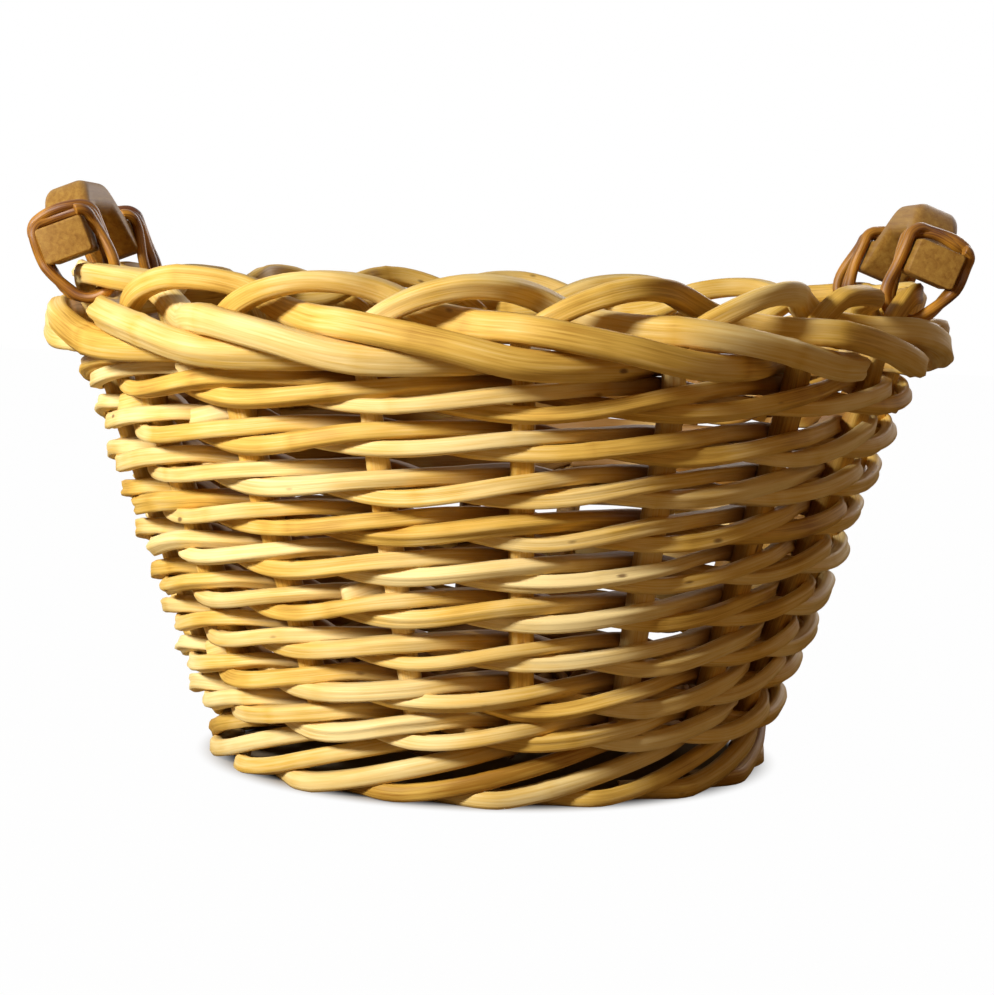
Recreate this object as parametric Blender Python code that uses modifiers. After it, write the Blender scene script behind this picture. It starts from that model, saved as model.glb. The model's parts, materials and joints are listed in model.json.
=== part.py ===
"""Round willow basket with two wooden swing grips.

Eighteen stakes rise from a woven base. Nine rounds of three-rod wale are woven on them,
they are bent over one after another into a thick plaited border, and eighteen more rods
are plaited below into a foot. Each grip is an arched bar, held at both ends by a wound
loop of cane that passes under the top stroke of the border and swings on it.

Weaving rods run on in a spiral. Those of the wall keep level, and step up to the next
round at the back, where the upper set also takes over from the lower one.

Metres, +Z up. The origin is on the ground, below the middle of the base. Azimuths are
measured from the front, which faces -Y, and grow to the right, towards +X.
"""

import math

import bmesh
import bpy
from mathutils import Matrix, Vector

# Counts
STAKES = 18
WALE_RODS = 3
WALE_SETS = (("lower", 5), ("upper", 4))
STEP_UP_SPACES = 3
BASE_STICKS_ALONG = 5
BASE_STICKS_ACROSS = 4
BASE_WEAVERS = 2
BASE_TURNS = 5
LOOP_TURNS = 3
LOOP_POINTS = 24
ROUND_BEVEL_STEPS = 1
SQUARE_BEVEL_STEPS = 0

# Rods
STAKE_D = 0.0086
BORDER_ROD_D = 0.0104
WEAVER_D = 0.0062
FOOT_ROD_D = 0.0080
BASE_STICK_D = 0.0060
BASE_WEAVER_D = 0.0044
CANE_D = 0.0042
TOUCH_GAP = 0.0003
WEAVE_GAP = 0.0010
STROKE_GAP = 0.0008
LOOP_GAP = 0.0006
WELD_GAP = 0.00003
STAKE_BEND = 0.0047

# Wall: the circle that the stakes stand on, at the first and the last round
FIRST_ROUND_Z = 0.0304
LAST_ROUND_Z = 0.1600
FIRST_ROUND_R = 0.1140
LAST_ROUND_R = 0.1606
STAKE_PHASE = math.radians(3.2)
STAKE_TWIST = math.radians(3.4)

# Base: how far it lies below the first round, and inside the circle of the stakes
BASE_DROP = 0.0066
STAKE_TOE = 0.0113
BASE_FIRST_ROUND_R = 0.0450
STICK_PARALLEL_R = 0.0160
STICK_SPREAD_R = 0.0420

# Border: its lowest strokes, above the last round
BORDER_RISE = 0.0118
# Each stake's path round the border. First the places to its right, in spaces between
# stakes, then out from the stake circle and up from the lowest strokes, in rod diameters.
BORDER_PATH_SHARES = (
    (0.00, 0.26, 1.10),
    (0.10, 0.62, 2.04),
    (0.21, 0.82, 2.50),
    (0.48, 0.82, 2.60),
    (0.72, 0.45, 2.46),
    (1.00, -0.52, 2.26),
    (1.30, -0.62, 1.44),
    (1.60, 0.06, 1.10),
    (2.00, 1.52, 1.18),
    (2.50, 1.78, 0.70),
    (3.00, 1.54, 0.05),
    (3.50, 0.61, 0.05),
    (3.80, -0.63, 0.05),
    (4.00, -1.17, 0.06),
    (4.20, -1.27, 0.00),
)

# Foot: its rods' top ends below the first round, and its circle outside the stakes' one
FOOT_DROP = 0.0078
FOOT_OUTSET = 0.0032
FOOT_SOLE_Z = 0.0028
# Each foot rod's path. First the places to the left of its stake, in spaces between
# stakes, then in from the foot circle in rod diameters, then its height as a share of
# the way from the sole to the top.
FOOT_PATH_SHARES = (
    (0.20, 0.55, 1.00),
    (0.50, 0.26, 0.86),
    (1.00, 0.02, 0.60),
    (1.30, 0.00, 0.43),
    (1.60, 0.00, 0.26),
    (2.00, 0.00, 0.08),
    (2.30, 0.04, 0.00),
    (2.60, 0.84, 0.00),
    (2.85, 1.30, 0.00),
)

# Grips and their loops
GRIP_LENGTH = 0.1480
GRIP_WIDTH = 0.0193
GRIP_THICKNESS = 0.0144
GRIP_RISE = 0.0170
GRIP_END_FLAT = 0.0230
GRIP_TOP_FLAT = 0.0400
GRIP_EDGE = 0.0016
GRIP_EDGE_ANGLE = math.radians(60)
GRIP_LEAN = math.radians(21.5)
GRIP_OUTSET = 0.0020
GRIP_SEAT_GAP = 0.0018
GRIP_BEND_STEPS = 6
LOOP_AZIMUTH = math.radians(20.2)
LOOP_SLACK = 0.0024
LOOP_CORNER_GAP = 0.0013

SPACE = 2 * math.pi / STAKES
WALE_ROUNDS = sum(rounds for _, rounds in WALE_SETS)
BASE_Z = FIRST_ROUND_Z - BASE_DROP
BORDER_Z = LAST_ROUND_Z + BORDER_RISE
FOOT_TOP_Z = FIRST_ROUND_Z - FOOT_DROP
ROUND_PITCH = (LAST_ROUND_Z - FIRST_ROUND_Z) / (WALE_ROUNDS - 1)
WALL_SLOPE = math.atan2(LAST_ROUND_R - FIRST_ROUND_R, LAST_ROUND_Z - FIRST_ROUND_Z)
WEAVE_DEPTH = (STAKE_D + WEAVER_D) / 2 + WEAVE_GAP
STROKE_PITCH = WEAVER_D + STROKE_GAP

# A wale rod's course over three stakes: spaces from the stake that it passes behind,
# out from the stakes as a share of the weave's depth, and up as a share of a stroke.
WALE_STROKE_SHARES = (
    (0.0, -1.0, 0.0),
    (0.5, 0.0, -0.5),
    (1.0, 1.0, -0.5),
    (2.0, 1.0, 0.5),
    (2.5, 0.0, 0.5),
)

WILLOW = ("peeled_willow", (0.83, 0.58, 0.20), 0.42)
BASE_WILLOW = ("base_willow", (0.70, 0.46, 0.15), 0.50)
CANE = ("dark_cane", (0.34, 0.13, 0.02), 0.45)
GRIP_WOOD = ("grip_wood", (0.40, 0.20, 0.05), 0.50)


def clear_scene():
    for thing in list(bpy.data.objects):
        bpy.data.objects.remove(thing, do_unlink=True)


def new_collection(name):
    collection = bpy.data.collections.new(name)
    bpy.context.scene.collection.children.link(collection)
    return collection


def material(finish, name):
    """One Principled material for each piece, from the finish's colour and roughness."""
    kind, colour, roughness = finish
    made = bpy.data.materials.new(f"{kind}_{name}")
    made.use_nodes = True
    shader = made.node_tree.nodes["Principled BSDF"]
    shader.inputs["Base Color"].default_value = (*colour, 1.0)
    shader.inputs["Roughness"].default_value = roughness
    shader.inputs["Metallic"].default_value = 0.0
    made.diffuse_color = (*colour, 1.0)
    return made


def at(azimuth, radius, height):
    """A point from its azimuth, its distance from the middle line and its height."""
    return Vector((radius * math.sin(azimuth), -radius * math.cos(azimuth), height))


def wall_radius(height):
    """Radius of the circle that the stakes stand on, at a height."""
    share = (height - FIRST_ROUND_Z) / (LAST_ROUND_Z - FIRST_ROUND_Z)
    return FIRST_ROUND_R + (LAST_ROUND_R - FIRST_ROUND_R) * share


BASE_R = wall_radius(BASE_Z) - STAKE_TOE
FOOT_R = wall_radius(FOOT_TOP_Z) + FOOT_OUTSET


def stake_azimuth(number, height):
    """The stakes lean a little sideways: their feet stand further to the right."""
    share = (height - BASE_Z) / (BORDER_Z - BASE_Z)
    return STAKE_PHASE + number * SPACE + STAKE_TWIST * (1 - min(share, 1.0))


def border_point(places, shares_out, shares_up):
    """A point of the border path, as its turn from the stake, radius and height."""
    radius = wall_radius(BORDER_Z) + shares_out * BORDER_ROD_D
    return places * SPACE, radius, BORDER_Z + shares_up * BORDER_ROD_D


def rod(name, points, diameters, bevel, finish, collection):
    """A rod along a list of points, with a diameter at each: round, or square on edge."""
    curve = bpy.data.curves.new(name, "CURVE")
    curve.dimensions = "3D"
    curve.twist_mode = "Z_UP" if bevel == SQUARE_BEVEL_STEPS else "MINIMUM"
    curve.bevel_depth = max(diameters) / 2
    curve.bevel_resolution = bevel
    curve.use_fill_caps = True
    curve.materials.append(material(finish, name))
    spline = curve.splines.new("POLY")
    spline.points.add(len(points) - 1)
    for knot, point, diameter in zip(spline.points, points, diameters):
        knot.co = (*point, 1.0)
        knot.radius = diameter / max(diameters)
    spline.use_smooth = True
    made = bpy.data.objects.new(name, curve)
    collection.objects.link(made)
    return made


def to_mesh(source):
    """The same object as a mesh with its caps welded."""
    bpy.context.view_layer.update()
    graph = bpy.context.evaluated_depsgraph_get()
    mesh = bpy.data.meshes.new_from_object(source.evaluated_get(graph))
    work = bmesh.new()
    work.from_mesh(mesh)
    bmesh.ops.remove_doubles(work, verts=work.verts, dist=WELD_GAP)
    work.to_mesh(mesh)
    work.free()
    name = source.name
    home = source.users_collection[0]
    place = source.matrix_world.copy()
    bpy.data.objects.remove(source, do_unlink=True)
    made = bpy.data.objects.new(name, mesh)
    made.matrix_world = place
    home.objects.link(made)
    return made


def make_stakes(collection):
    """Each stake is one rod: out of the base, up the wall, and round the border."""
    first_wall_z = FIRST_ROUND_Z + STAKE_D / 2
    foot = (
        (BASE_R + TOUCH_GAP, BASE_Z),
        (wall_radius(BASE_Z) - STAKE_BEND, BASE_Z),
        (wall_radius(BASE_Z + STAKE_BEND), BASE_Z + STAKE_BEND),
        (wall_radius(first_wall_z), first_wall_z),
        (wall_radius(LAST_ROUND_Z), LAST_ROUND_Z),
    )
    diameters = [STAKE_D] * len(foot) + [BORDER_ROD_D] * len(BORDER_PATH_SHARES)
    for number in range(STAKES):
        points = [at(stake_azimuth(number, z), r, z) for r, z in foot]
        for shares in BORDER_PATH_SHARES:
            turn, radius, height = border_point(*shares)
            points.append(at(stake_azimuth(number, BORDER_Z) + turn, radius, height))
        rod(f"stake_{number + 1:02d}", points, diameters, ROUND_BEVEL_STEPS, WILLOW, collection)


def wale_level(spaces):
    """Height of a weaving rod after so many spaces: level, then up a round at the back."""
    rounds, into = divmod(spaces, STAKES)
    climbed = min(into / STEP_UP_SPACES, 1.0) if rounds > 0 else 1.0
    return FIRST_ROUND_Z + (rounds - 1 + climbed) * ROUND_PITCH


def wale_point(spaces, out_share, up_share):
    """A point of a wale rod, counted in spaces from the stake at the back."""
    height = wale_level(spaces)
    out = out_share * WEAVE_DEPTH
    rise = up_share * STROKE_PITCH
    radius = wall_radius(height) + out * math.cos(WALL_SLOPE) + rise * math.sin(WALL_SLOPE)
    azimuth = stake_azimuth(spaces - STAKES / 2, height)
    height += rise * math.cos(WALL_SLOPE) - out * math.sin(WALL_SLOPE)
    return at(azimuth, radius, height)


def make_wale(collection):
    """Two sets of three rods, each rod behind one stake and then outside two."""
    done = 0
    for set_name, rounds in WALE_SETS:
        first = done * STAKES + (STEP_UP_SPACES if done == 0 else 0)
        last = (done + rounds) * STAKES
        for number in range(WALE_RODS):
            start = first + number
            cycles = (last - WALE_RODS + number - start) // WALE_RODS
            points = [
                wale_point(start + cycle * WALE_RODS + spaces, out_share, up_share)
                for cycle in range(cycles)
                for spaces, out_share, up_share in WALE_STROKE_SHARES
            ]
            end_spaces, end_out, end_up = WALE_STROKE_SHARES[0]
            points.append(wale_point(start + cycles * WALE_RODS + end_spaces, end_out, end_up))
            name = f"wale_{set_name}_rod_{number + 1}"
            diameters = [WEAVER_D] * len(points)
            rod(name, points, diameters, SQUARE_BEVEL_STEPS, WILLOW, collection)
        done += rounds


def make_foot(collection):
    """Eighteen rods below the wall, each down to the left, cut flat where they stand."""
    for number in range(STAKES):
        start = stake_azimuth(number, FOOT_TOP_Z)
        points = []
        for places, shares_in, share_up in FOOT_PATH_SHARES:
            height = FOOT_SOLE_Z + (FOOT_TOP_Z - FOOT_SOLE_Z) * share_up
            radius = FOOT_R - shares_in * FOOT_ROD_D
            points.append(at(start - places * SPACE, radius, height))
        name = f"foot_rod_{number + 1:02d}"
        diameters = [FOOT_ROD_D] * len(points)
        made = to_mesh(rod(name, points, diameters, SQUARE_BEVEL_STEPS, WILLOW, collection))
        work = bmesh.new()
        work.from_mesh(made.data)
        everything = work.verts[:] + work.edges[:] + work.faces[:]
        bmesh.ops.bisect_plane(
            work, geom=everything, plane_co=(0, 0, 0), plane_no=(0, 0, -1), clear_outer=True
        )
        open_edges = [edge for edge in work.edges if edge.is_boundary]
        bmesh.ops.edgeloop_fill(work, edges=open_edges)
        bmesh.ops.recalc_face_normals(work, faces=work.faces)
        work.to_mesh(made.data)
        work.free()


def make_base_sticks(collection):
    """Five sticks one way and four across them, spread at both ends to meet the stakes."""
    layers = (
        ("along", BASE_STICKS_ALONG, -1, 0.0),
        ("across", BASE_STICKS_ACROSS, 1, math.pi / 2),
    )
    start = stake_azimuth(0, BASE_Z)
    for layer_name, count, level, turn in layers:
        height = BASE_Z + level * (BASE_STICK_D + WEAVE_GAP) / 2
        for number in range(count):
            place = number - (count - 1) / 2
            aside = at(start + turn + math.pi / 2, place * (BASE_STICK_D + WEAVE_GAP), 0)
            left = start + turn + place * SPACE
            right = start + turn + math.pi - place * SPACE
            points = [
                at(left, BASE_R - TOUCH_GAP, BASE_Z),
                at(left, STICK_SPREAD_R, BASE_Z),
                at(start + turn, STICK_PARALLEL_R, height) + aside,
                at(start + turn, -STICK_PARALLEL_R, height) + aside,
                at(right, STICK_SPREAD_R, BASE_Z),
                at(right, BASE_R - TOUCH_GAP, BASE_Z),
            ]
            name = f"base_stick_{layer_name}_{number + 1}"
            diameters = [BASE_STICK_D] * len(points)
            rod(name, points, diameters, SQUARE_BEVEL_STEPS, BASE_WILLOW, collection)


def make_base_weave(collection):
    """Two rods side by side in a flat spiral, each over one stick and under the next."""
    depth = (BASE_STICK_D + BASE_WEAVER_D) / 2 + WEAVE_GAP
    last_r = BASE_R - BASE_WEAVER_D / 2
    pitch = (last_r - BASE_FIRST_ROUND_R) / (BASE_TURNS * BASE_WEAVERS + BASE_WEAVERS - 1)
    for number in range(BASE_WEAVERS):
        points = []
        for step in range(BASE_TURNS * STAKES + 1):
            radius = BASE_FIRST_ROUND_R + pitch * (number + BASE_WEAVERS * step / STAKES)
            side = 1 if (step + number) % 2 else -1
            points.append(at(stake_azimuth(step, BASE_Z), radius, BASE_Z + side * depth))
        name = f"base_weaver_{number + 1}"
        diameters = [BASE_WEAVER_D] * len(points)
        rod(name, points, diameters, SQUARE_BEVEL_STEPS, BASE_WILLOW, collection)


def loop_strand():
    """The middle of the border stroke that the loops hang on, as radius and height."""
    place = (math.pi / 2 - LOOP_AZIMUTH - STAKE_PHASE) / SPACE % 1
    for before, after in zip(BORDER_PATH_SHARES, BORDER_PATH_SHARES[1:]):
        if before[0] <= place <= after[0]:
            along = (place - before[0]) / (after[0] - before[0])
            shares = [low + (high - low) * along for low, high in zip(before, after)]
    return border_point(*shares)[1:]


STRAND_R, STRAND_Z = loop_strand()
PIVOT = Vector((STRAND_R * math.cos(LOOP_AZIMUTH), 0, STRAND_Z))
LOOP_Y = STRAND_R * math.sin(LOOP_AZIMUTH)
LEAN_UP = Vector((math.sin(GRIP_LEAN), 0, math.cos(GRIP_LEAN)))
LEAN_OUT = Vector((math.cos(GRIP_LEAN), 0, -math.sin(GRIP_LEAN)))
GRIP_SEAT = BORDER_ROD_D / 2 + GRIP_SEAT_GAP + GRIP_THICKNESS / 2
PIVOT_TO_GRIP = LEAN_UP * GRIP_SEAT + LEAN_OUT * GRIP_OUTSET


def hinge(side):
    """Where a handle turns: as built for side 1, and half a turn round for side -1."""
    turn = Matrix.Rotation(0.0 if side > 0 else math.pi, 4, "Z")
    return turn @ Matrix.Translation(PIVOT)


def grip_rise(along):
    """How far the bar's middle line has risen, at a distance from its middle."""
    start = GRIP_LENGTH / 2 - GRIP_END_FLAT
    stop = GRIP_TOP_FLAT / 2
    share = min(max((start - abs(along)) / (start - stop), 0.0), 1.0)
    return GRIP_RISE * share * share * (3 - 2 * share)


def make_grip(name, side, collection):
    """The bar is its side outline, drawn out to its width, with eased edges."""
    start = GRIP_LENGTH / 2 - GRIP_END_FLAT
    stop = GRIP_TOP_FLAT / 2
    steps = range(GRIP_BEND_STEPS + 1)
    half = [GRIP_LENGTH / 2] + [start + (stop - start) * n / GRIP_BEND_STEPS for n in steps]
    along = half + [-place for place in half[::-1]]
    top = [(place, grip_rise(place) + GRIP_THICKNESS / 2) for place in along]
    bottom = [(place, grip_rise(place) - GRIP_THICKNESS / 2) for place in along[::-1]]
    curve = bpy.data.curves.new(name, "CURVE")
    curve.dimensions = "2D"
    curve.fill_mode = "BOTH"
    curve.extrude = GRIP_WIDTH / 2
    curve.materials.append(material(GRIP_WOOD, name))
    spline = curve.splines.new("POLY")
    spline.points.add(len(top + bottom) - 1)
    for knot, (place, rise) in zip(spline.points, top + bottom):
        knot.co = (place, rise, 0, 1.0)
    spline.use_cyclic_u = True
    made = bpy.data.objects.new(name, curve)
    collection.objects.link(made)
    made = to_mesh(made)
    lie = Matrix((Vector((0, 1, 0)), LEAN_UP, LEAN_OUT)).transposed().to_4x4()
    lie.translation = PIVOT_TO_GRIP
    made.data.transform(lie)
    made.matrix_world = hinge(side)
    edges = made.modifiers.new("eased edges", "BEVEL")
    edges.width = GRIP_EDGE
    edges.segments = 1
    edges.limit_method = "ANGLE"
    edges.angle_limit = GRIP_EDGE_ANGLE


def loop_points(end):
    """Three turns round the border stroke below and the bar above, an egg on end.

    Each point is where the egg faces one of the directions round it. Below, the turns
    follow the border's curve; both ends turn in and stop square on top of the bar.
    """
    corner = math.hypot(GRIP_WIDTH, GRIP_THICKNESS) / 2
    big = corner + CANE_D / 2 + LOOP_CORNER_GAP
    small = BORDER_ROD_D / 2 + CANE_D / 2 + LOOP_SLACK
    pitch = CANE_D + LOOP_GAP
    towards = PIVOT_TO_GRIP.normalized()
    crossover = (small - big) / PIVOT_TO_GRIP.length
    points = []
    for step in range(LOOP_TURNS * LOOP_POINTS + 1):
        angle = 2 * math.pi * step / LOOP_POINTS
        face = LEAN_UP * math.cos(angle) + LEAN_OUT * math.sin(angle)
        aside = (step / LOOP_POINTS - LOOP_TURNS / 2) * pitch
        along = Vector((0, end * LOOP_Y + aside, 0))
        if face.dot(towards) > crossover:
            points.append(PIVOT_TO_GRIP + face * big + along)
        else:
            follow = Vector((-aside * end * math.tan(LOOP_AZIMUTH), 0, 0))
            points.append(follow + face * small + along)
    for last in (0, -1):
        seat = points[last] - LEAN_UP * (big - GRIP_THICKNESS / 2 - TOUCH_GAP)
        points[last] = seat + LEAN_UP * CANE_D
        if last == 0:
            points.insert(0, seat)
        else:
            points.append(seat)
    return points


def least_gap(points):
    """The least distance between the loop's turns, less the cane."""
    apart = LOOP_POINTS // 2
    least = min(
        (points[a] - points[b]).length
        for a in range(len(points))
        for b in range(a + apart, len(points))
    )
    return least - CANE_D


def make_loops(side_name, side, collection):
    for end_name, end in (("front", -side), ("back", side)):
        points = loop_points(end)
        name = f"grip_loop_{side_name}_{end_name}"
        diameters = [CANE_D] * len(points)
        made = rod(name, points, diameters, ROUND_BEVEL_STEPS, CANE, collection)
        made.matrix_world = hinge(side)
        print(f"{name}: least gap between turns {least_gap(points) * 1000:.2f} mm")


def main():
    clear_scene()
    basket = new_collection("willow_basket")
    make_base_sticks(basket)
    make_base_weave(basket)
    make_stakes(basket)
    make_wale(basket)
    make_foot(basket)
    for side_name, side in (("left", -1), ("right", 1)):
        make_grip(f"grip_{side_name}", side, basket)
        make_loops(side_name, side, basket)
    print(f"grip hinge at x {PIVOT.x:.4f}, z {PIVOT.z:.4f}; loops at y {LOOP_Y:.4f}")


main()
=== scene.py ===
"""Looks of a round willow basket with two wooden swing grips.

Laid out as a Blender add-on and run as a script. It loads the packed model as a fixed frame
and dresses each of its rods, loops and grips. Metres, +Z up. Azimuths are measured from the
front, which faces -Y, and grow to the right, towards +X.
"""

import json
import math
import random

import bmesh
import bpy
import numpy as np
from bpy.props import FloatProperty, FloatVectorProperty, PointerProperty, StringProperty
from mathutils import Matrix, Vector, noise


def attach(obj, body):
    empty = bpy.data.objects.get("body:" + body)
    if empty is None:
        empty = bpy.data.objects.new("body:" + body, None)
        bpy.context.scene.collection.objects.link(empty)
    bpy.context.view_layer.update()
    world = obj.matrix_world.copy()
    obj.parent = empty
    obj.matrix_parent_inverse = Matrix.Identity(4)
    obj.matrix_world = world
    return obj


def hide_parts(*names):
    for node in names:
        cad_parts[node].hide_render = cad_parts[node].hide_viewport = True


bl_info = {
    "name": "Willow Basket",
    "version": (1, 0, 0),
    "blender": (4, 5, 0),
    "location": "View3D > Sidebar > Basket",
    "description": "Dresses a stake and strand willow basket with swing grips",
    "category": "Add Mesh",
}

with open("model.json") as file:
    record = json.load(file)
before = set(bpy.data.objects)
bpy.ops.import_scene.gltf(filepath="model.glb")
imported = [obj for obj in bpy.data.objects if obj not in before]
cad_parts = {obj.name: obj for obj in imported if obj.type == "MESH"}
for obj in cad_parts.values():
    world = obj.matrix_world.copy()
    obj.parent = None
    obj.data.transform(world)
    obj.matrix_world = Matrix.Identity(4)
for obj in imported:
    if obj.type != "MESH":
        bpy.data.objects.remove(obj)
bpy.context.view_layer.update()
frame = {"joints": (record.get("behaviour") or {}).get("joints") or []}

STAKES = 18
SPACE = 2 * math.pi / STAKES
WALE_RODS = 3
WALE_SETS = (("lower", 5), ("upper", 4))
WALE_ROUNDS = 9
STEP_UP_SPACES = 3
STICKS_ALONG = 5
STICKS_ACROSS = 4
BASE_TURNS = 5
BASE_WEAVERS = 2
LOOP_TURNS = 3
LOOP_POINTS = 48
GRIP_SIDES = 32
STRAY_SEED = 7

# A stake's thickness along the border: places, and share of the border rod's thickness
BORDER_TAPER = ((0.0, 0.3, 0.8, 1.3, 2.0, 3.0, 4.2), (0.78, 0.84, 0.90, 1.00, 1.09, 1.09, 0.90))

# Each stake's path round the border: the places to its right, in spaces between stakes,
# then out from the stake circle and up from the lowest strokes, in rod diameters.
BORDER_PATH_SHARES = (
    (0.00, 0.24, 0.92),
    (0.10, 0.60, 1.34),
    (0.24, 0.86, 1.80),
    (0.42, 0.96, 2.24),
    (0.64, 0.82, 2.54),
    (0.86, 0.34, 2.52),
    (1.08, -0.45, 2.22),
    (1.34, -0.64, 1.60),
    (1.62, 0.04, 1.30),
    (2.00, 1.48, 1.16),
    (2.50, 1.78, 0.66),
    (3.00, 1.54, 0.04),
    (3.50, 0.61, -0.02),
    (3.80, -0.63, 0.00),
    (4.00, -1.17, 0.04),
    (4.20, -1.27, 0.00),
)

# The first part of that path for the stakes whose stroke a loop goes round: they rise
# steeply, clear of the cane.
HELD_PATH_SHARES = (
    (0.00, 0.24, 0.90),
    (0.10, 0.60, 1.88),
    (0.22, 0.82, 2.42),
    (0.36, 0.84, 2.52),
    (0.55, 0.76, 2.52),
    (0.76, 0.38, 2.42),
    (1.00, -0.50, 2.20),
    (1.30, -0.62, 1.44),
    (1.60, 0.06, 1.10),
)

# Each foot rod's path: the places to the left of its stake, in from the foot circle in rod
# diameters, and its height as a share of the way from the sole to the top.
FOOT_PATH_SHARES = (
    (0.03, 1.05, 1.04),
    (0.22, 0.62, 0.99),
    (0.50, 0.26, 0.86),
    (1.00, 0.02, 0.60),
    (1.30, 0.00, 0.43),
    (1.60, 0.00, 0.26),
    (2.00, 0.00, 0.08),
    (2.30, 0.04, 0.00),
    (2.60, 0.84, 0.00),
    (2.85, 1.30, 0.00),
)

# How a loop's turns cross over the bar: turns, and shift aside in pitches
LOOP_SHIFTS = ((0.0, 0.5, 1.0, 1.5, 2.0, 2.5, 3.0), (0.5, 0.0, 0.8, 0.0, -0.8, 0.0, -0.2))
# and lift off the bar in thicknesses of the cane
LOOP_LIFTS = ((0.0, 0.5, 0.75, 1.0, 1.25, 1.5, 3.0), (0.0, 0.0, 0.10, 0.50, 0.10, 0.0, 0.0))

# A wale rod's course over three stakes: spaces from the stake that it passes behind, out
# from the stakes as a share of the weave's depth, and up as a share of a stroke.
WALE_STROKE_SHARES = (
    (0.0, -1.0, 0.0),
    (0.5, 0.0, -0.5),
    (1.0, 1.0, -0.5),
    (2.0, 1.0, 0.5),
    (2.5, 0.0, 0.5),
)


def length(name, description, default):
    return FloatProperty(name=name, description=description, default=default, unit="LENGTH")


def angle(name, description, degrees):
    return FloatProperty(
        name=name, description=description, default=math.radians(degrees), subtype="ANGLE"
    )


def hex_colour(name, description, default):
    return StringProperty(name=name, description=description, default=default)


class RodSizes(bpy.types.PropertyGroup):
    """Thicknesses of the willow and the cane, and how evenly they lie."""

    stake: length("Stake", "Thickness of a stake on the wall", 0.0086)
    border: length("Border", "Thickness that the border's strokes are laid for", 0.0104)
    border_rod: length("Border rod", "Thickness of a stake where it forms the border", 0.0096)
    weaver: length("Weaver", "Thickness of the rods woven on the wall", 0.0059)
    foot: length("Foot", "Thickness of the rods plaited into the foot", 0.0069)
    stick: length("Base stick", "Thickness of the sticks across the base", 0.0060)
    base_weaver: length("Base weaver", "Thickness of the rods woven on the base", 0.0044)
    tie: length("Tie", "Thickness of the rod that ties the base sticks", 0.0028)
    cane: length("Cane", "Thickness of the wound loops", 0.0044)
    drift: length("Drift", "How far a rod strays from its course", 0.0006)
    sway: length("Sway", "How far a round strays from its level", 0.0022)
    flat: FloatProperty(name="Flat", description="Thickness of a rod over its height", default=0.94)
    square: FloatProperty(
        name="Square", description="How far a rod is squared, as a share of its radius", default=0.24
    )
    inner_swell: FloatProperty(
        name="Inner swell", description="How much fuller the wale is inside the stakes", default=1.25
    )
    close: FloatProperty(
        name="Close", description="How much closer the wale is at the back", default=0.18
    )
    facets: FloatProperty(
        name="Facets", description="Unevenness of a rod, as a share of its radius", default=0.22
    )
    cut: length("Cut", "Eased edge round a cut end", 0.0005)
    spacing: length("Spacing", "Distance between the rings of a rod", 0.0040)
    knot_gap: length("Knot gap", "Usual distance between a rod's buds", 0.0950)
    knot_swell: FloatProperty(name="Knot swell", description="Swelling at a knot", default=0.06)


class WallSizes(bpy.types.PropertyGroup):
    """The wall's circles and levels, as the frame has them."""

    first_z: length("First round", "Height of the first round", 0.0304)
    last_z: length("Last round", "Height of the last round", 0.1600)
    first_r: length("First radius", "Stake circle at the first round", 0.1140)
    last_r: length("Last radius", "Stake circle at the last round", 0.1606)
    base_drop: length("Base drop", "Base below the first round", 0.0066)
    border_rise: length("Border rise", "Lowest border strokes above the last round", 0.0118)
    foot_drop: length("Foot drop", "Top of the foot below the first round", 0.0078)
    foot_outset: length("Foot outset", "Foot circle outside the stake circle", 0.0032)
    sole_z: length("Sole", "Middle of a foot rod where it stands", 0.0028)
    toe: length("Toe", "Stake end inside the stake circle", 0.0113)
    bend: length("Bend", "Turn of a stake at its foot", 0.0047)
    phase: angle("Phase", "Azimuth of the first stake at the border", 3.2)
    twist: angle("Twist", "How far the stakes' feet stand to the right", 3.4)
    weave_gap: length("Weave gap", "Clearance of a rod on a stake", 0.0010)
    stroke_pitch: length("Stroke pitch", "Rise from one stroke to the next", 0.0065)
    weave_depth: length("Weave depth", "Rods' course in and out of the stakes", 0.0069)
    base_first_r: length("Base first round", "Where the base's weave starts", 0.0450)
    parallel_r: length("Parallel", "Where the base sticks begin to spread", 0.0160)
    spread_r: length("Spread", "Where the base sticks have spread", 0.0420)


class GripSizes(bpy.types.PropertyGroup):
    """The bars and the loops that hold them."""

    length: length("Length", "Length of a bar", 0.1480)
    width: length("Width", "Width of a bar", 0.0193)
    thickness: length("Thickness", "Thickness of a bar", 0.0144)
    rise: length("Rise", "Rise of the arch", 0.0170)
    end_flat: length("End flat", "Level stretch at each end", 0.0230)
    top_flat: length("Top flat", "Level stretch at the top", 0.0400)
    edge: length("Edge", "Eased long edges at the ends", 0.0016)
    held_edge: length("Held edge", "Eased long edges where the bar is held", 0.0050)
    end_edge: length("End edge", "Eased edges of the end faces", 0.0007)
    lean: angle("Lean", "How far a bar leans out", 21.5)
    outset: length("Outset", "Bar out from its loops' line", 0.0020)
    seat_gap: length("Seat gap", "Clearance on the border stroke", 0.0018)
    border: length("Stroke", "Thickness of the border stroke in the loops", 0.0104)
    loop_y: length("Loop", "Distance of a loop from the bar's middle", 0.0599)
    loop_slack: length("Slack", "Clearance of a loop on the stroke", 0.0024)
    fan: length("Fan", "How far the turns fan out over the bar", 0.0036)
    loop_gap: length("Loop gap", "Gap between the turns", 0.0006)
    loop_turn: angle("Loop turn", "Azimuth of the front loops from the side", 20.2)


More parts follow.
